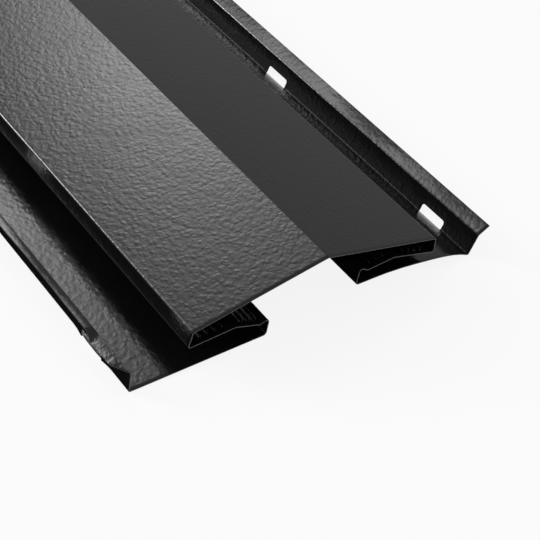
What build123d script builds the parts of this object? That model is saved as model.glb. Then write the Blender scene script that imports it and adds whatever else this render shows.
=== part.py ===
"""Ridge vent: one length of roll-formed aluminium sheet that caps a roof's ridge slot and lets attic air out.

X runs across the ridge, Y along it and Z up, in millimetres. The origin is under the middle of the length,
on the level that the two outer folds rest on. The section is drawn along the sheet's weather face, from
one outer lip over the ridge to the other, and the sheet's thickness lies behind that face.
"""

import os
from math import atan2, cos, hypot, sin

from build123d import *

# Sheet and cut length
sheet = 0.6
length = 3048.0
bend_radius = 1.6

# Cap: two slopes that meet at the ridge, with a narrow drop below each edge
cap_width = 161.0
cap_rise = 17.5
cap_edge_height = 25.2
drop_depth = 10.6
drop_lean = 1.7

# Louvred strip under the cap: it climbs from the drop's foot to a crest, and falls to a valley
crest_inset = 29.6
crest_rise = 5.0

# Inner wall beside the throat, whose top stands above the valley as a weather stop
throat_width = 60.4
wall_height = 11.0
stop_width = 5.2
stop_height = 2.7

# Flange that lies on the roof, the baffle that stands at its outer fold, and the baffle's lip
fold_width = 227.2
flange_fall = 7.0
baffle_height = 13.2
baffle_lean = 2.5
lip_width = 6.1
lip_rise = 3.9

# Louvres: rows of slits lanced along the strip, each with its blade turned up towards the cap
outer_slope_margin = 6.0
inner_slope_margin = 2.5
louvre_gap = 2.2
louvre_land = 2.2
louvre_length = 291.0
louvre_bridge = 14.8
blade_height = 2.2

# Weep slots across each outer fold: they reach in over the flange's rim, and up the baffle
weep_length = 19.0
weep_reach = 0.7
weep_top = 5.3
weep_corner = 1.5
weep_pitch = 152.4
weep_first = 33.4

# Corners of the right half of the section, on the weather face, from the cap's edge out to the lip
ridge = (0, cap_edge_height + cap_rise)
cap_edge = (cap_width / 2, cap_edge_height)
drop_foot = (cap_edge[0] + drop_lean, cap_edge[1] - drop_depth)
crest = (drop_foot[0] - crest_inset, drop_foot[1] + crest_rise)
wall_foot = (throat_width / 2 + sheet, sheet + flange_fall)
wall_top = (wall_foot[0], wall_foot[1] + wall_height)
valley = (wall_top[0] + stop_width, wall_top[1] - stop_height)
outer_fold = (fold_width / 2, sheet)
baffle_top = (outer_fold[0] + baffle_lean, outer_fold[1] + baffle_height)
lip_edge = (baffle_top[0] + lip_width, baffle_top[1] + lip_rise)
right_half = [cap_edge, drop_foot, crest, valley, wall_top, wall_foot, outer_fold, baffle_top, lip_edge]
left_half = [(-x, z) for x, z in reversed(right_half)]

# Louvres and weep slots that the length takes
row_pitch = louvre_gap + louvre_land
louvre_pitch = louvre_length + louvre_bridge
louvre_count = int((length + louvre_bridge) // louvre_pitch)
weep_count = int((length - weep_first - weep_length / 2) // weep_pitch) + 1
weep_middle = weep_first + (weep_count - 1) * weep_pitch / 2 - length / 2
weep_cut = weep_top + 2 * sheet + weep_corner


def slope_plane(inner, outer, side):
    """Plane on one slope of the strip's lower face, with local X outwards and Z up through the sheet."""
    run = hypot(outer[0] - inner[0], outer[1] - inner[1])
    across = (side * (outer[0] - inner[0]) / run, 0, (outer[1] - inner[1]) / run)
    up = (-side * across[2], 0, side * across[0])
    middle = (side * (inner[0] + outer[0]) / 2, 0, (inner[1] + outer[1]) / 2)
    return Plane(origin=middle, x_dir=across, z_dir=up)


def louvre_rows(inner, outer, margin):
    """Number of louvre rows that one slope of the strip takes between its two margins."""
    run = hypot(outer[0] - inner[0], outer[1] - inner[1])
    return int((run - 2 * margin + louvre_land) // row_pitch)


def baffle_plane(side):
    """Plane on the baffle's inner face at the outer fold, with local X along the ridge and Z outwards."""
    lean = atan2(baffle_lean, baffle_height)
    outwards = (side * cos(lean), 0, -sin(lean))
    return Plane(origin=(side * outer_fold[0], 0, outer_fold[1]), x_dir=(0, side, 0), z_dir=outwards)


with BuildPart() as ridge_vent:
    # The whole section, run out to the cut length
    with BuildSketch(Plane.XZ):
        with BuildLine():
            FilletPolyline(*left_half, ridge, *right_half, radius=bend_radius)
            offset(amount=sheet, side=Side.RIGHT)
        make_face()
    extrude(amount=length / 2, both=True)

    for side in (-1, 1):
        # Louvre slits through both slopes of the strip, with a blade along the inner edge of each slit
        for inner, outer, margin in ((crest, drop_foot, outer_slope_margin), (valley, crest, inner_slope_margin)):
            slope = slope_plane(inner, outer, side)
            rows = louvre_rows(inner, outer, margin)
            with BuildSketch(slope.offset(-sheet)):
                with GridLocations(row_pitch, louvre_pitch, rows, louvre_count):
                    Rectangle(louvre_gap, louvre_length)
            extrude(amount=3 * sheet, mode=Mode.SUBTRACT)
            with BuildSketch(slope):
                with Locations((-(louvre_gap + sheet) / 2, 0)):
                    with GridLocations(row_pitch, louvre_pitch, rows, louvre_count):
                        Rectangle(sheet, louvre_length)
            extrude(amount=sheet + blade_height)

        # Weep slots across the outer fold, cut from the rim of the flange through the baffle's foot
        with BuildSketch(baffle_plane(side).offset(-weep_reach)):
            with Locations((side * weep_middle, weep_top - weep_cut / 2)):
                with GridLocations(weep_pitch, weep_cut, weep_count, 1):
                    RectangleRounded(weep_length, weep_cut, weep_corner)
        extrude(amount=weep_reach + 2 * sheet, mode=Mode.SUBTRACT)

ridge_vent.part.label = "ridge_vent"

os.makedirs("parts", exist_ok=True)
export_step(ridge_vent.part, "parts/ridge_vent.step")

print(f"{louvre_count} louvres a row, {weep_count} weep slots a side, {ridge_vent.part.volume:.0f} cubic mm")
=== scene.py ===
"""Ridge vent: one length of embossed, black painted sheet, rolled to a peaked cap over two louvred legs.

The rolled sheet is modelled along its weather face, lip to lip, and given its thickness behind that face.
X runs across the ridge, Y along it and Z up, in metres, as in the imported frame. The near end is the lowest Y.
"""

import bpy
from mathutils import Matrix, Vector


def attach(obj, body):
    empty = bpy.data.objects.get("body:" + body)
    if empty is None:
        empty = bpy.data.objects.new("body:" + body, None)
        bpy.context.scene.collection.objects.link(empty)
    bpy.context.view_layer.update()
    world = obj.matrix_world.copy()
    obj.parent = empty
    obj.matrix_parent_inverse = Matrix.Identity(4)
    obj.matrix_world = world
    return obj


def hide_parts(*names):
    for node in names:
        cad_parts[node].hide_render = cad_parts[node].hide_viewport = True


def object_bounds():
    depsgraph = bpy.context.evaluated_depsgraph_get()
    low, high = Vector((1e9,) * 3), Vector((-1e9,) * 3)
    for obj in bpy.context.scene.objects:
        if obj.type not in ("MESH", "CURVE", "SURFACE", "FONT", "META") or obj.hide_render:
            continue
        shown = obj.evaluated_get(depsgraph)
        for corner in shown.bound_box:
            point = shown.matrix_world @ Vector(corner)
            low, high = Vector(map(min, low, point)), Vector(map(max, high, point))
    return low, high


bl_info = {
    "name": "Ridge Vent Dresser",
    "version": (1, 0, 0),
    "blender": (4, 5, 0),
    "location": "3D View > Sidebar > Ridge Vent",
    "description": "Models a rolled ridge vent on its packed frame, with its paint, studio light and camera",
    "category": "Object",
}

from math import cos, exp, radians, sin, sqrt, tan

import bmesh
import bpy
from bpy.props import FloatProperty, FloatVectorProperty, IntProperty, PointerProperty
from bpy.types import Operator, Panel, PropertyGroup
from mathutils import Matrix, Vector, noise

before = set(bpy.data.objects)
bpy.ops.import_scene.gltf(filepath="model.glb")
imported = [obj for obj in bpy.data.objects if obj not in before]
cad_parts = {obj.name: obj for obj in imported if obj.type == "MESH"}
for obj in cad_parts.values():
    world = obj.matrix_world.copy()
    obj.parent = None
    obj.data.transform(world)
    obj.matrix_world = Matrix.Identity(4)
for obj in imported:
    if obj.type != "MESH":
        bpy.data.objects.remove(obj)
cad_low, cad_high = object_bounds()


def size(name, description, default):
    """A length that a user may change."""
    return FloatProperty(name=name, description=description, default=default, precision=5, unit="LENGTH")


def share(name, description, default):
    """A plain number from 0 to 1 that a user may change."""
    return FloatProperty(name=name, description=description, default=default, min=0, max=1, subtype="FACTOR")


def turn(name, description, degrees):
    """An angle that a user may change."""
    return FloatProperty(name=name, description=description, default=radians(degrees), subtype="ANGLE")


def colour(name, description, default):
    """A colour that a user may change."""
    return FloatVectorProperty(name=name, description=description, default=default, min=0, max=1, subtype="COLOR")


def brightness(name, description, default):
    """A light's brightness, on the scale where 1 is white."""
    return FloatProperty(name=name, description=description, default=default, min=0)


class VentSection(PropertyGroup):
    """Sizes of the rolled section, on the sheet's weather face"""

    sheet: size("Sheet", "Thickness of the sheet", 0.0006)
    length: size("Length", "Cut length along the ridge", cad_high.y - cad_low.y)
    bend_radius: size("Bend radius", "Radius of the rolled bends", 0.0016)
    fold_radius: size("Fold radius", "Radius of the fold between flange and baffle", 0.0007)
    bend_segments: IntProperty(name="Bend segments", description="Facets round each bend", default=4, min=1)
    cap_width: size("Cap width", "Width of the cap from edge to edge", 0.161)
    cap_rise: size("Cap rise", "Height of the ridge above the cap's edges", 0.0175)
    cap_edge_height: size("Cap edge height", "Height of the cap's edges above the floor", 0.0252)
    drop_depth: size("Drop depth", "Depth of the drop below each cap edge", 0.0106)
    drop_lean: size("Drop lean", "How far the drop's foot stands outside the cap's edge", 0.0017)
    crest_inset: size("Crest inset", "Width of the strip's outer slope", 0.0296)
    crest_rise: size("Crest rise", "Height of the strip's crest above the drop's foot", 0.005)
    throat_width: size("Throat width", "Clear width between the two inner walls", 0.0604)
    wall_height: size("Wall height", "Height of the inner wall", 0.011)
    stop_width: size("Stop width", "Width of the slope behind the weather stop", 0.0052)
    stop_height: size("Stop height", "Height of the weather stop above the valley", 0.0027)
    fold_width: size("Fold width", "Width between the two outer folds", 0.2272)
    flange_fall: size("Flange fall", "Fall of the flange from the inner wall to the fold", 0.007)
    baffle_height: size("Baffle height", "Height of the baffle above the fold", 0.0132)
    baffle_lean: size("Baffle lean", "How far the baffle's top stands outside the fold", 0.0025)
    lip_width: size("Lip width", "Width of the lip on top of the baffle", 0.0061)
    lip_rise: size("Lip rise", "Rise of the lip to its edge", 0.0039)


class VentOpenings(PropertyGroup):
    """Sizes of the louvres and the weep slots"""

    rows_outside: IntProperty(name="Rows outside", description="Louvre rows outside the crest", default=4)
    rows_inside: IntProperty(name="Rows inside", description="Louvre rows inside the crest", default=3)
    louvre_gap: size("Louvre gap", "Width of a louvre slit", 0.0022)
    louvre_land: size("Louvre land", "Sheet left between two rows", 0.0022)
    louvre_length: size("Louvre length", "Length of a louvre", 0.291)
    louvre_bridge: size("Louvre bridge", "Sheet left between two louvres of a row", 0.0148)
    blade_height: size("Blade height", "Height of a louvre blade above the strip", 0.0022)
    weep_length: size("Weep slot length", "Length of a weep slot", 0.019)
    weep_reach: size("Weep slot reach", "How far a weep slot reaches in across the flange", 0.0007)
    weep_top: size("Weep slot top", "Height of a weep slot's top up the baffle", 0.0053)
    weep_corner: size("Weep slot corner", "Corner radius of a weep slot", 0.0015)
    weep_pitch: size("Weep slot pitch", "Distance from one weep slot to the next", 0.1524)
    weep_first: size("First weep slot", "Distance from the near end to the middle of the first weep slot", 0.0334)


class VentHandling(PropertyGroup):
    """Spring of the two legs at the near end, and small marks of cutting and handling"""

    left_lift: size("Left wall lift", "Lift of the left inner wall", -0.0052)
    left_shift: size("Left wall shift", "Outward shift of the left inner wall", 0.0011)
    left_bow: size("Left flange bow", "Bow of the left flange between wall and fold", 0.0)
    left_turn: turn("Left baffle turn", "Outward turn of the left baffle", -8.0)
    left_lip: size("Left lip", "Width of the left lip along its slope", 0.0046)
    left_lip_rise: turn("Left lip rise", "Angle at which the left lip rises", 3.0)
    right_lift: size("Right wall lift", "Lift of the right inner wall", 0.0056)
    right_shift: size("Right wall shift", "Outward shift of the right inner wall", -0.0044)
    right_bow: size("Right flange bow", "Bow of the right flange between wall and fold", 0.0041)
    right_turn: turn("Right baffle turn", "Outward turn of the right baffle", 4.6)
    right_lip: size("Right lip", "Width of the right lip along its slope", 0.0085)
    right_lip_rise: turn("Right lip rise", "Angle at which the right lip rises", 35.0)
    spring_hold: size("Spring hold", "Length from the near end over which the spring holds fully", 0.55)
    spring_fade: size("Spring fade", "Length over which the spring then fades out", 1.1)
    lip_wave: size("Lip wave", "Height of the slow waves along each lip", 0.0006)
    lip_wave_length: size("Lip wave length", "Length of the waves along each lip", 0.05)
    bent_lip: size("Bent lip", "Width of the left lip where it is bent down at the near end", 0.0058)
    bent_lip_rise: turn("Bent lip rise", "Angle at which the bent lip rises", -38.0)
    bent_reach: size("Bent reach", "Distance from the near end to which the left lip is bent down", 0.030)
    bent_fade: size("Bent fade", "Length over which the bend in the left lip fades out", 0.004)
    corner_cut: size("Corner cut", "Length over which the left lip tapers away to the near end", 0.012)
    rim_press: size("Rim press", "How far the rim is pressed out at the first weep slot on the left", 0.0014)
    rim_press_width: size("Rim press width", "Half width of the press along the rim", 0.0125)


class VentFinish(PropertyGroup):
    """Paint, emboss and bare edges"""

    paint: colour("Paint", "Colour of the paint", (0.0040, 0.0040, 0.0041))
    paint_rubbed: colour("Rubbed paint", "Colour of the paint where it is rubbed", (0.0065, 0.0064, 0.0062))
    gloss: share("Gloss", "Roughness of the paint where it is smoothest", 0.12)
    dull: share("Dull", "Roughness of the paint where it is dullest", 0.20)
    emboss_cell: size("Emboss cell", "Width of one cell of the stucco emboss", 0.0030)
    emboss_depth: size("Emboss depth", "Depth of the stucco emboss", 0.00012)
    backer: colour("Backer coat", "Colour of the flat black backer coat", (0.0045, 0.0045, 0.0045))
    backer_worn: colour("Worn backer coat", "Colour of the backer coat where it is thin", (0.0065, 0.0064, 0.0062))
    backer_sheen: share("Backer sheen", "Specular level of the backer coat", 0.0)
    cut_edge: colour("Cut edge", "Colour of the bare edge at the two cut ends", (0.10, 0.10, 0.098))
    cut_edge_dark: colour("Dark cut edge", "Colour of the cut ends under dragged paint", (0.03, 0.03, 0.03))
    painted_edge: colour("Painted edge", "Colour of every other edge, which paint covers", (0.006, 0.006, 0.006))
    cut_grain: size("Cut grain", "Width of the shear marks on the cut edge", 0.0008)


class VentStage(PropertyGroup):
    """Floor, lights and camera"""

    floor_colour: colour("Floor", "Colour of the floor", (0.93, 0.93, 0.93))
    floor_size: size("Floor size", "Width of the floor", 400.0)
    floor_white: share("Floor white", "Share of the floor's white that no shadow dims", 0.88)
    room_light: brightness("Room light", "Even light of the room", 0.40)
    glow_light: brightness("Glow light", "Share of the brightness that is listed for the soft glows", 1.0)
    camera_place: FloatVectorProperty(
        name="Camera place", description="Camera from the middle of the near end, on the floor",
        default=(-0.3891, -0.3490, 0.4786), subtype="XYZ", unit="LENGTH")
    camera_azimuth: turn("Camera azimuth", "Turn of the view about Z, from looking along Y", -45.088)
    camera_elevation: turn("Camera elevation", "Angle at which the camera looks down", 40.952)
    camera_roll: turn("Camera roll", "Roll of the camera about its view", 12.857)
    lens: FloatProperty(name="Lens", description="Focal length in millimetres", default=90.05)


class VentSettings(PropertyGroup):
    """Everything that shapes and dresses the ridge vent"""

    section: PointerProperty(name="Section", description="Sizes of the rolled section", type=VentSection)
    openings: PointerProperty(name="Openings", description="Louvres and weep slots", type=VentOpenings)
    handling: PointerProperty(name="Handling", description="Spring and marks of handling", type=VentHandling)
    finish: PointerProperty(name="Finish", description="Paint, emboss and bare edges", type=VentFinish)
    stage: PointerProperty(name="Stage", description="Floor, lights and camera", type=VentStage)


# Shape of the rolled sheet

CORNERS = ("ridge", "cap_edge", "drop_foot", "crest", "valley", "wall_top", "wall_foot",
           "outer_fold", "baffle_top", "lip_edge")
FLANGE_SHARES = (0.06, 0.14, 0.25, 0.38, 0.5, 0.62, 0.72, 0.8, 0.86, 0.91, 0.955)
BOW_SKEW, BOW_FULLNESS = 1.25, 3
LIP_END = 0.1
PRESS_FULLNESS = 4
WAVE_SEED = 0.4
LEFT, RIGHT = -1, 1


def half_corners(section):
    """Corners of the right half of the rolled section, from the ridge out to the lip's edge."""
    drop_x = section.cap_width / 2 + section.drop_lean
    drop_z = section.cap_edge_height - section.drop_depth
    wall_x = section.throat_width / 2 + section.sheet
    wall_z = section.sheet + section.flange_fall
    fold_x = section.fold_width / 2
    top_x = fold_x + section.baffle_lean
    top_z = section.sheet + section.baffle_height
    return {
        "ridge": Vector((0, section.cap_edge_height + section.cap_rise)),
        "cap_edge": Vector((section.cap_width / 2, section.cap_edge_height)),
        "drop_foot": Vector((drop_x, drop_z)),
        "crest": Vector((drop_x - section.crest_inset, drop_z + section.crest_rise)),
        "valley": Vector((wall_x + section.stop_width, wall_z + section.wall_height - section.stop_height)),
        "wall_top": Vector((wall_x, wall_z + section.wall_height)),
        "wall_foot": Vector((wall_x, wall_z)),
        "outer_fold": Vector((fold_x, section.sheet)),
        "baffle_top": Vector((top_x, top_z)),
        "lip_edge": Vector((top_x + section.lip_width, top_z + section.lip_rise)),
    }


def slant(width, rise):
    """Step across a slope of a width that rises outwards at an angle."""
    return Vector((cos(rise), sin(rise))) * width


def leg_springs(handling):
    """Spring of the left and the right leg: its wall's move, its baffle's turn and its sprung lip."""
    return {
        LEFT: (Vector((handling.left_shift, handling.left_lift)), handling.left_turn,
               slant(handling.left_lip, handling.left_lip_rise)),
        RIGHT: (Vector((handling.right_shift, handling.right_lift)), handling.right_turn,
                slant(handling.right_lip, handling.right_lip_rise)),
    }


def fade(along, hold, length):
    """What is left of a change that holds from the near end and then fades over a length, from 1 down to 0."""
    gone = min(max((along - hold) / length, 0), 1)
    return 1 - gone * gone * (3 - 2 * gone)


def sprung_corners(vent, side, along):
    """Corners of one half at a distance along the sheet, with its spring, its lip's wave and its bent corner."""
    handling = vent.handling
    rolled = half_corners(vent.section)
    hold = fade(along, handling.spring_hold, handling.spring_fade)
    shift, baffle_turn, sprung_lip = leg_springs(handling)[side]
    corners = dict(rolled)
    reach = rolled["drop_foot"].x - rolled["wall_top"].x
    for name in ("crest", "valley", "wall_top"):
        corners[name] = rolled[name] + shift * hold * (rolled["drop_foot"].x - rolled[name].x) / reach
    corners["wall_foot"] = rolled["wall_foot"] + shift * hold
    lean = Matrix.Rotation(-baffle_turn * hold, 2)
    corners["baffle_top"] = rolled["outer_fold"] + lean @ (rolled["baffle_top"] - rolled["outer_fold"])
    rolled_lip = rolled["lip_edge"] - rolled["baffle_top"]
    corners["lip_edge"] = corners["baffle_top"] + rolled_lip.lerp(sprung_lip, hold)
    wave = handling.lip_wave * noise.noise(Vector((along / handling.lip_wave_length, side, WAVE_SEED)))
    corners["baffle_top"] = corners["baffle_top"] + Vector((wave, wave)) / 2
    corners["lip_edge"] = corners["lip_edge"] + Vector((wave, -wave))
    if side == LEFT:
        bent = fade(along, handling.bent_reach, handling.bent_fade)
        bent_lip = slant(handling.bent_lip, handling.bent_lip_rise)
        lip = (corners["lip_edge"] - corners["baffle_top"]).lerp(bent_lip, bent)
        kept = min(along / handling.corner_cut, 1)
        corners["lip_edge"] = corners["baffle_top"] + lip * (LIP_END + (1 - LIP_END) * kept)
        off_slot = (along - vent.openings.weep_first) / handling.rim_press_width
        press = handling.rim_press * exp(-off_slot ** PRESS_FULLNESS)
        corners["outer_fold"] = corners["outer_fold"] + Vector((press, 0))
    return corners


def slit_shares(run, rows, openings):
    """Shares along a slope of the two edges of each of its slits."""
    pitch = openings.louvre_gap + openings.louvre_land
    shares = []
    for row in range(rows):
        middle = run / 2 + (row - (rows - 1) / 2) * pitch
        shares += [(middle - openings.louvre_gap / 2) / run, (middle + openings.louvre_gap / 2) / run]
    return shares


def sheet_lines(section, openings):
    """Lines along the sheet from the left lip to the right, as side, corner and share of the way to the next."""
    rolled = half_corners(section)
    outer_run = (rolled["drop_foot"] - rolled["crest"]).length
    inner_run = (rolled["crest"] - rolled["valley"]).length
    flange = (rolled["outer_fold"] - rolled["wall_foot"]).length
    baffle = (rolled["baffle_top"] - rolled["outer_fold"]).length
    weep_heights = (openings.weep_top - openings.weep_corner, openings.weep_top)
    between = {
        "drop_foot": slit_shares(outer_run, openings.rows_outside, openings),
        "crest": slit_shares(inner_run, openings.rows_inside, openings),
        "wall_foot": (*FLANGE_SHARES, 1 - openings.weep_reach / flange),
        "outer_fold": [height / baffle for height in weep_heights],
    }
    half = [(name, part) for name in CORNERS for part in (0.0, *between.get(name, ()))]
    left = [(LEFT, name, part) for name, part in reversed(half[1:])]
    return left + [(RIGHT, name, part) for name, part in half]


def sheet_points(vent, lines, along):
    """Points of every line at a distance along the sheet from its near end."""
    halves = {side: sprung_corners(vent, side, along) for side in (LEFT, RIGHT)}
    bows = {LEFT: vent.handling.left_bow, RIGHT: vent.handling.right_bow}
    hold = fade(along, vent.handling.spring_hold, vent.handling.spring_fade)
    points = []
    for side, name, part in lines:
        place = halves[side][name]
        if part:
            following = CORNERS[CORNERS.index(name) + 1]
            place = place.lerp(halves[side][following], part)
        if name == "wall_foot":
            fullness = 1 - abs(2 * part ** BOW_SKEW - 1) ** BOW_FULLNESS
            place = place + Vector((0, bows[side] * hold * fullness))
        points.append(Vector((side * place.x, cad_low.y + along, place.y)))
    return points


def louvre_spans(section, openings):
    """Start and end of each louvre along the sheet."""
    pitch = openings.louvre_length + openings.louvre_bridge
    count = int((section.length + openings.louvre_bridge) / pitch)
    first = section.length / 2 - (count - 1) / 2 * pitch - openings.louvre_length / 2
    starts = [first + n * pitch for n in range(count)]
    return [(start, start + openings.louvre_length) for start in starts]


def weep_spans(section, openings):
    """Start and end of each weep slot along the sheet, with the ends of its corners between."""
    count = int((section.length - openings.weep_first - openings.weep_length / 2) / openings.weep_pitch) + 1
    spans = []
    for n in range(count):
        start = openings.weep_first + n * openings.weep_pitch - openings.weep_length / 2
        end = start + openings.weep_length
        spans.append((start, start + openings.weep_corner, end - openings.weep_corner, end))
    return spans


NEAR_STEP, MIDDLE_STEP, FAR_STEP = 0.002, 0.012, 0.080
NEAR_REACH, MIDDLE_REACH = 0.060, 0.480
STATION_ROOM = 0.0009


def sheet_stations(section, openings):
    """Distances along the sheet of its rows of points: its ends, its openings and even steps between."""
    stations = {0.0, section.length}
    stations.update(place for span in louvre_spans(section, openings) for place in span)
    stations.update(place for span in weep_spans(section, openings) for place in span)
    fixed = sorted(stations)
    along = NEAR_STEP
    while along < section.length:
        if all(abs(along - place) > STATION_ROOM for place in fixed):
            stations.add(along)
        along += NEAR_STEP if along < NEAR_REACH else MIDDLE_STEP if along < MIDDLE_REACH else FAR_STEP
    return sorted(stations)


class Sheet:
    """The sheet while it is modelled: its mesh, and its points and faces by line and station."""

    def __init__(self, vent):
        self.lines = sheet_lines(vent.section, vent.openings)
        self.stations = sheet_stations(vent.section, vent.openings)
        self.mesh = bmesh.new()
        self.line_of = self.mesh.verts.layers.int.new("line")
        self.station_of = self.mesh.verts.layers.int.new("station")
        self.roll(vent)
        self.points = {(v[self.line_of], v[self.station_of]): v for v in self.mesh.verts}
        self.faces = {}
        for face in self.mesh.faces:
            line = min(v[self.line_of] for v in face.verts)
            station = min(v[self.station_of] for v in face.verts)
            self.faces[line, station] = face

    def roll(self, vent):
        """Lay out one row of points at the near end and extrude it from station to station."""
        row = [self.mesh.verts.new(point) for point in sheet_points(vent, self.lines, self.stations[0])]
        for line, vert in enumerate(row):
            vert[self.line_of] = line
        edges = [self.mesh.edges.new(pair) for pair in zip(row, row[1:])]
        for number, along in enumerate(self.stations[1:], start=1):
            grown = bmesh.ops.extrude_edge_only(self.mesh, edges=edges)["geom"]
            verts = {item for item in grown if isinstance(item, bmesh.types.BMVert)}
            points = sheet_points(vent, self.lines, along)
            for vert in verts:
                vert.co = points[vert[self.line_of]]
                vert[self.station_of] = number
            edges = [item for item in grown
                     if isinstance(item, bmesh.types.BMEdge) and verts.issuperset(item.verts)]
        self.mesh.normal_update()
        ridge_face = max(self.mesh.faces, key=lambda face: face.calc_center_median().z)
        if ridge_face.normal.z < 0:
            bmesh.ops.reverse_faces(self.mesh, faces=self.mesh.faces[:])

    def lines_after(self, side, name):
        """The extra lines between one corner and the next outwards along the sheet, nearest first."""
        found = [n for n, (s, corner, part) in enumerate(self.lines) if s == side and corner == name and part]
        return sorted(found, key=lambda n: self.lines[n][2])

    def station(self, along):
        """Number of the station at a distance along the sheet."""
        return self.stations.index(along)

    def edges_along(self, line, first, last):
        """Edges of one line between two stations."""
        pairs = [(self.points[line, n], self.points[line, n + 1]) for n in range(first, last)]
        return [self.mesh.edges.get(pair) for pair in pairs]


def open_louvres(sheet, vent):
    """Cut the louvre slits through both slopes of the strip, and turn up a blade from each slit's inner edge."""
    rolled = half_corners(vent.section)
    rise = vent.section.sheet + vent.openings.blade_height
    spans = [(sheet.station(start), sheet.station(end)) for start, end in louvre_spans(vent.section, vent.openings)]
    for side in (LEFT, RIGHT):
        for name, following in (("drop_foot", "crest"), ("crest", "valley")):
            slope = rolled[name] - rolled[following]
            up = Vector((-side * slope.y, 0, slope.x)).normalized() * rise
            slit_lines = sheet.lines_after(side, name)
            slits, hinges = [], []
            for outer, inner in zip(slit_lines[0::2], slit_lines[1::2]):
                for first, last in spans:
                    slits += [sheet.faces[min(outer, inner), n] for n in range(first, last)]
                    hinges += sheet.edges_along(inner, first, last)
            bmesh.ops.delete(sheet.mesh, geom=slits, context="FACES")
            blades = bmesh.ops.extrude_edge_only(sheet.mesh, edges=hinges)["geom"]
            tops = [item for item in blades if isinstance(item, bmesh.types.BMVert)]
            bmesh.ops.translate(sheet.mesh, verts=tops, vec=up)


def open_weep_slots(sheet, vent):
    """Cut the weep slots across each outer fold and up its baffle, and round their upper corners."""
    round_in = vent.openings.weep_corner * (1 - sqrt(0.5))
    for side in (LEFT, RIGHT):
        reach = sheet.lines_after(side, "wall_foot")[-1]
        below_top, top = sheet.lines_after(side, "outer_fold")
        slot_lines = range(min(reach, top), max(reach, top))
        for span in weep_spans(vent.section, vent.openings):
            first, last = sheet.station(span[0]), sheet.station(span[-1])
            slot = [sheet.faces[line, n] for line in slot_lines for n in range(first, last)]
            bmesh.ops.delete(sheet.mesh, geom=slot, context="FACES")
            for station, way in ((first, 1), (last, -1)):
                corner = sheet.points[top, station]
                down = (sheet.points[below_top, station].co - corner.co).normalized()
                corner.co += (down + Vector((0, way, 0))) * round_in


def round_bends(sheet, vent):
    """Round every bend of the section to its radius."""
    rolled = half_corners(vent.section)
    rolled_left = Vector((-rolled["cap_edge"].x, rolled["cap_edge"].y))
    for number, name in enumerate(CORNERS[:-1]):
        before = rolled[CORNERS[number - 1]] if number else rolled_left
        bend = (rolled[name] - before).angle(rolled[CORNERS[number + 1]] - rolled[name])
        radius = vent.section.fold_radius if name == "outer_fold" else vent.section.bend_radius
        bend_lines = {n for n, (_, corner, part) in enumerate(sheet.lines) if corner == name and not part}
        edges = []
        for edge in sheet.mesh.edges:
            line, other = (v[sheet.line_of] for v in edge.verts)
            if line == other and line in bend_lines:
                edges.append(edge)
        bmesh.ops.bevel(sheet.mesh, geom=edges, offset=radius * tan(bend / 2), offset_type="OFFSET",
                        segments=vent.section.bend_segments, profile=0.5, affect="EDGES", material=-1,
                        clamp_overlap=False)


SHARP_ANGLE = radians(50)


def finished_sheet(vent):
    """Mesh of the weather face of the whole sheet."""
    sheet = Sheet(vent)
    open_louvres(sheet, vent)
    open_weep_slots(sheet, vent)
    round_bends(sheet, vent)
    for face in sheet.mesh.faces:
        face.smooth = True
    for edge in sheet.mesh.edges:
        edge.smooth = not edge.is_manifold or edge.calc_face_angle() < SHARP_ANGLE
    numbers = sheet.mesh.verts.layers.int
    for name in ("line", "station"):
        numbers.remove(numbers[name])
    data = bpy.data.meshes.new("rolled_sheet")
    sheet.mesh.to_mesh(data)
    sheet.mesh.free()
    return data


# Paint and bare edges

def add_node(tree, kind, **values):
    """A node with its input sockets set by name."""
    node = tree.nodes.new(kind)
    for name, value in values.items():
        node.inputs[name.replace("_", " ")].default_value = value
    return node


def add_math(tree, operation, *values):
    """A math node whose inputs are sockets or plain numbers, as its output socket."""
    node = tree.nodes.new("ShaderNodeMath")
    node.operation = operation
    for socket, value in zip(node.inputs, values):
        if isinstance(value, bpy.types.NodeSocket):
            tree.links.new(value, socket)
        else:
            socket.default_value = value
    return node.outputs[0]


# Stucco emboss, in cells of its pattern
SWIRL_SCALE, SWIRL_REACH = 0.9, 1.1
PEBBLE_SOFTNESS, PEBBLE_REACH = 0.5, 0.75
CREASE_SCALE, CREASE_SHARE = 1.6, 0.45
MOTTLE_SCALE, MOTTLE_DETAIL, MOTTLE_ROUGHNESS = 0.09, 4.0, 0.6


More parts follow.
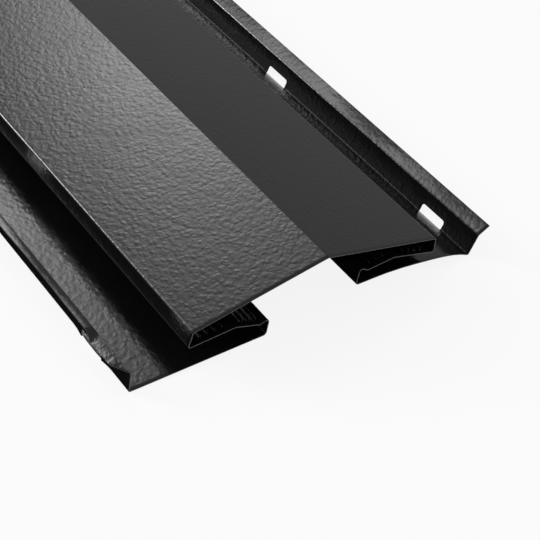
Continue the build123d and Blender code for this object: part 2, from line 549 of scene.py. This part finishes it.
def stucco_group():
    """Node group of the stucco emboss: a height for relief and a slow mottle for gloss, at any cell width."""
    group = bpy.data.node_groups.new("Stucco emboss", "ShaderNodeTree")
    group.interface.new_socket("Place", in_out="INPUT", socket_type="NodeSocketVector")
    group.interface.new_socket("Cell", in_out="INPUT", socket_type="NodeSocketFloat")
    group.interface.new_socket("Height", in_out="OUTPUT", socket_type="NodeSocketFloat")
    group.interface.new_socket("Mottle", in_out="OUTPUT", socket_type="NodeSocketFloat")
    link = group.links.new
    given = group.nodes.new("NodeGroupInput")
    result = group.nodes.new("NodeGroupOutput")

    per_cell = add_math(group, "DIVIDE", 1.0, given.outputs["Cell"])
    place = group.nodes.new("ShaderNodeVectorMath")
    place.operation = "SCALE"
    link(given.outputs["Place"], place.inputs[0])
    link(per_cell, place.inputs["Scale"])

    swirl = add_node(group, "ShaderNodeTexNoise", Scale=SWIRL_SCALE, Detail=1.0)
    link(place.outputs[0], swirl.inputs["Vector"])
    warp = group.nodes.new("ShaderNodeVectorMath")
    warp.operation = "MULTIPLY_ADD"
    warp.inputs[1].default_value = [SWIRL_REACH] * 3
    link(swirl.outputs["Color"], warp.inputs[0])
    link(place.outputs[0], warp.inputs[2])
    cells = add_node(group, "ShaderNodeTexVoronoi", Scale=1.0)
    cells.feature = "SMOOTH_F1"
    cells.inputs["Smoothness"].default_value = PEBBLE_SOFTNESS
    link(warp.outputs[0], cells.inputs["Vector"])
    pebbles = add_node(group, "ShaderNodeMapRange", From_Min=0.0, From_Max=PEBBLE_REACH, To_Min=1.0, To_Max=0.0)
    link(cells.outputs["Distance"], pebbles.inputs["Value"])
    creases = add_node(group, "ShaderNodeTexNoise", Scale=CREASE_SCALE, Detail=1.0)
    link(place.outputs[0], creases.inputs["Vector"])
    height = group.nodes.new("ShaderNodeMix")
    height.inputs["Factor"].default_value = CREASE_SHARE
    link(pebbles.outputs["Result"], height.inputs["A"])
    link(creases.outputs["Fac"], height.inputs["B"])
    link(height.outputs["Result"], result.inputs["Height"])

    mottle = add_node(group, "ShaderNodeTexNoise",
                      Scale=MOTTLE_SCALE, Detail=MOTTLE_DETAIL, Roughness=MOTTLE_ROUGHNESS)
    link(place.outputs[0], mottle.inputs["Vector"])
    link(mottle.outputs["Fac"], result.inputs["Mottle"])
    return group


def sheet_material(name, group, cell, depth):
    """A material with the emboss at a cell width and a depth, as its tree, its shader and its mottle."""
    material = bpy.data.materials.new(name)
    material.use_nodes = True
    tree = material.node_tree
    shader = tree.nodes["Principled BSDF"]
    place = tree.nodes.new("ShaderNodeTexCoord")
    emboss = tree.nodes.new("ShaderNodeGroup")
    emboss.node_tree = group
    emboss.inputs["Cell"].default_value = cell
    relief = add_node(tree, "ShaderNodeBump", Strength=1.0, Distance=depth)
    tree.links.new(place.outputs["Object"], emboss.inputs["Place"])
    tree.links.new(emboss.outputs["Height"], relief.inputs["Height"])
    tree.links.new(relief.outputs["Normal"], shader.inputs["Normal"])
    return material, tree, shader, emboss.outputs["Mottle"]


def blend_colours(tree, factor, *colours):
    """Blend from a first colour to a second, each a value or a socket, as an output socket."""
    blend = tree.nodes.new("ShaderNodeMix")
    blend.data_type = "RGBA"
    tree.links.new(factor, blend.inputs["Factor"])
    sockets = [socket for socket in blend.inputs if socket.type == "RGBA"]
    for socket, given in zip(sockets, colours):
        if isinstance(given, bpy.types.NodeSocket):
            tree.links.new(given, socket)
        else:
            socket.default_value = (*given, 1)
    return next(socket for socket in blend.outputs if socket.type == "RGBA")


MOTTLE_RANGE = (0.3, 0.7)


def vary(tree, mottle, shader, low_colour, high_colour, low_rough, high_rough):
    """Lead the mottle to a shader's colour and roughness, and give the colour's socket back."""
    tint = blend_colours(tree, mottle, low_colour, high_colour)
    tree.links.new(tint, shader.inputs["Base Color"])
    low, high = MOTTLE_RANGE
    rough = add_node(tree, "ShaderNodeMapRange", From_Min=low, From_Max=high, To_Min=low_rough, To_Max=high_rough)
    tree.links.new(mottle, rough.inputs["Value"])
    tree.links.new(rough.outputs["Result"], shader.inputs["Roughness"])
    return tint


def black_paint(finish, group):
    """Semi-gloss black paint over the embossed sheet."""
    material, tree, shader, mottle = sheet_material("black_paint", group, finish.emboss_cell, finish.emboss_depth)
    vary(tree, mottle, shader, finish.paint, finish.paint_rubbed, finish.gloss, finish.dull)
    return material


BACKER_ROUGH = (0.55, 0.75)
CUT_DEPTH = 0.00003
CUT_REACH = 0.0005
CUT_ROUGH = (0.35, 0.6)


def backer_coat(finish, group):
    """Flat black wash on the reverse of the sheet, over the same emboss."""
    material, tree, shader, mottle = sheet_material("backer_coat", group, finish.emboss_cell, finish.emboss_depth)
    vary(tree, mottle, shader, finish.backer, finish.backer_worn, *BACKER_ROUGH)
    shader.inputs["Specular IOR Level"].default_value = finish.backer_sheen
    return material


def cut_edge(finish, group):
    """Edges of the sheet: bare metal with dragged paint at the two cut ends, and painted elsewhere."""
    material, tree, shader, mottle = sheet_material("cut_edge", group, finish.cut_grain, CUT_DEPTH)
    bare = vary(tree, mottle, shader, finish.cut_edge_dark, finish.cut_edge, *CUT_ROUGH)
    place = tree.nodes.new("ShaderNodeTexCoord")
    axes = tree.nodes.new("ShaderNodeSeparateXYZ")
    tree.links.new(place.outputs["Object"], axes.inputs[0])
    from_middle = add_math(tree, "ABSOLUTE", axes.outputs["Y"])
    at_end = add_math(tree, "GREATER_THAN", from_middle, cad_high.y - CUT_REACH)
    tree.links.new(blend_colours(tree, at_end, finish.painted_edge, bare), shader.inputs["Base Color"])
    return material


class VENT_OT_rolled_sheet(Operator):
    """Model the rolled sheet with its louvres and weep slots, and paint it"""

    bl_idname = "ridge_vent.rolled_sheet"
    bl_label = "Rolled Sheet"

    def execute(self, context):
        vent = context.scene.ridge_vent
        piece = bpy.data.objects.new("rolled_sheet", finished_sheet(vent))
        context.scene.collection.objects.link(piece)
        group = stucco_group()
        for make in (black_paint, backer_coat, cut_edge):
            piece.data.materials.append(make(vent.finish, group))
        thickness = piece.modifiers.new("Sheet thickness", "SOLIDIFY")
        thickness.thickness = vent.section.sheet
        thickness.offset = -1
        thickness.use_even_offset = False
        thickness.material_offset = 1
        thickness.material_offset_rim = 2
        shading = piece.modifiers.new("Flat panels", "WEIGHTED_NORMAL")
        shading.keep_sharp = True
        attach(piece, "root")
        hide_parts("ridge_vent")
        return {"FINISHED"}


# Stage

def direction(azimuth, elevation):
    """Unit vector towards a place seen at an azimuth to the right of Y and an elevation."""
    return Vector((sin(azimuth) * cos(elevation), cos(azimuth) * cos(elevation), sin(elevation)))


FLOOR_ROUGH = 0.9


def floor_material(stage):
    """White that the camera, gloss and glass see, dimmed a little by the vent's shadow."""
    material = bpy.data.materials.new("pale_floor")
    material.use_nodes = True
    tree = material.node_tree
    shaded = tree.nodes["Principled BSDF"]
    shaded.inputs["Base Color"].default_value = (*stage.floor_colour, 1)
    shaded.inputs["Roughness"].default_value = FLOOR_ROUGH
    shaded.inputs["Specular IOR Level"].default_value = 0.0
    white = add_node(tree, "ShaderNodeEmission", Strength=1.0)
    seen = tree.nodes.new("ShaderNodeLightPath")
    mirrored = add_math(tree, "MAXIMUM", seen.outputs["Is Glossy Ray"], seen.outputs["Is Transmission Ray"])
    shown = add_math(tree, "MAXIMUM", seen.outputs["Is Camera Ray"], mirrored)
    blend = tree.nodes.new("ShaderNodeMixShader")
    tree.links.new(add_math(tree, "MULTIPLY", shown, stage.floor_white), blend.inputs["Fac"])
    tree.links.new(shaded.outputs["BSDF"], blend.inputs[1])
    tree.links.new(white.outputs["Emission"], blend.inputs[2])
    tree.links.new(blend.outputs["Shader"], tree.nodes["Material Output"].inputs["Surface"])
    return material


def pale_floor(scene, stage):
    """A plain pale floor under the vent."""
    mesh = bmesh.new()
    bmesh.ops.create_grid(mesh, x_segments=1, y_segments=1, size=stage.floor_size / 2)
    data = bpy.data.meshes.new("floor")
    mesh.to_mesh(data)
    mesh.free()
    floor = bpy.data.objects.new("floor", data)
    floor.location.z = cad_low.z
    scene.collection.objects.link(floor)
    data.materials.append(floor_material(stage))


def glow(tree, sight, towards, spread):
    """Brightness of a soft round glow: 1 at its middle, and about a third at its spread."""
    nearness = tree.nodes.new("ShaderNodeVectorMath")
    nearness.operation = "DOT_PRODUCT"
    nearness.inputs[1].default_value = towards
    tree.links.new(sight, nearness.inputs[0])
    steep = 2 / spread ** 2
    return add_math(tree, "EXPONENT", add_math(tree, "MULTIPLY_ADD", nearness.outputs["Value"], steep, -steep))


# Soft glows behind the vent: brightness, turn to the right of Y, height above the floor and spread, in degrees
GLOWS = (
    (6.1, 22.2, 43.0, 7.0),
    (1.1, 19.5, 53.0, 7.0),
    (0.8, 36.0, 47.5, 5.0),
    (5.2, -30.0, 49.5, 8.5),
    (26.0, -39.0, 20.0, 8.5),
)


def room(scene, stage):
    """Even light from all round, with soft glows behind the vent."""
    world = bpy.data.worlds.new("studio")
    world.use_nodes = True
    tree = world.node_tree
    sight = tree.nodes.new("ShaderNodeTexCoord").outputs["Generated"]
    light = stage.room_light
    for bright, azimuth, elevation, spread in GLOWS:
        seen = glow(tree, sight, direction(radians(azimuth), radians(elevation)), radians(spread))
        light = add_math(tree, "MULTIPLY_ADD", seen, bright * stage.glow_light, light)
    background = tree.nodes["Background"]
    background.inputs["Color"].default_value = (1, 1, 1, 1)
    tree.links.new(light, background.inputs["Strength"])
    scene.world = world


SENSOR_WIDTH = 36.0
CLIP_START = 0.01


def camera(scene, stage):
    """The camera that looks down on the near end from its left."""
    azimuth, elevation, roll = stage.camera_azimuth, stage.camera_elevation, stage.camera_roll
    look = Vector((-sin(azimuth) * cos(elevation), cos(azimuth) * cos(elevation), -sin(elevation)))
    level = Vector((cos(azimuth), sin(azimuth), 0))
    down = look.cross(level)
    across = level * cos(roll) - down * sin(roll)
    up = -(level * sin(roll) + down * cos(roll))
    view = bpy.data.cameras.new("camera")
    view.lens = stage.lens
    view.sensor_width = SENSOR_WIDTH
    view.clip_start = CLIP_START
    eye = bpy.data.objects.new("camera", view)
    place = Matrix((across, up, -look)).transposed().to_4x4()
    place.translation = Vector((0, cad_low.y, cad_low.z)) + Vector(stage.camera_place)
    eye.matrix_world = place
    scene.collection.objects.link(eye)
    scene.camera = eye


class VENT_OT_stage(Operator):
    """Set out the floor, the lights and the camera"""

    bl_idname = "ridge_vent.stage"
    bl_label = "Stage"

    def execute(self, context):
        scene = context.scene
        stage = scene.ridge_vent.stage
        pale_floor(scene, stage)
        room(scene, stage)
        camera(scene, stage)
        scene.view_settings.view_transform = "Standard"
        return {"FINISHED"}


class VENT_PT_sidebar(Panel):
    """Lists the steps that dress the ridge vent, with their settings"""

    bl_idname = "VENT_PT_sidebar"
    bl_label = "Ridge Vent"
    bl_space_type = "VIEW_3D"
    bl_region_type = "UI"
    bl_category = "Ridge Vent"

    def draw(self, context):
        vent = context.scene.ridge_vent
        for name in ("section", "openings", "handling", "finish"):
            self.list_settings(getattr(vent, name))
        self.layout.operator(VENT_OT_rolled_sheet.bl_idname)
        self.list_settings(vent.stage)
        self.layout.operator(VENT_OT_stage.bl_idname)

    def list_settings(self, settings):
        """List one group's settings under its heading."""
        box = self.layout.box()
        box.label(text=settings.bl_rna.description)
        for name in settings.__annotations__:
            box.prop(settings, name)


CLASSES = (VentSection, VentOpenings, VentHandling, VentFinish, VentStage, VentSettings,
           VENT_OT_rolled_sheet, VENT_OT_stage, VENT_PT_sidebar)


def register():
    """Register the classes and the scene's settings."""
    for item in CLASSES:
        bpy.utils.register_class(item)
    bpy.types.Scene.ridge_vent = PointerProperty(
        name="Ridge vent", description="Ridge vent settings", type=VentSettings)


def unregister():
    """Take the scene's settings and the classes away again."""
    del bpy.types.Scene.ridge_vent
    for item in reversed(CLASSES):
        bpy.utils.unregister_class(item)


def main():
    """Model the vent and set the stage."""
    register()
    bpy.ops.ridge_vent.rolled_sheet()
    bpy.ops.ridge_vent.stage()


if __name__ == "__main__":
    main()
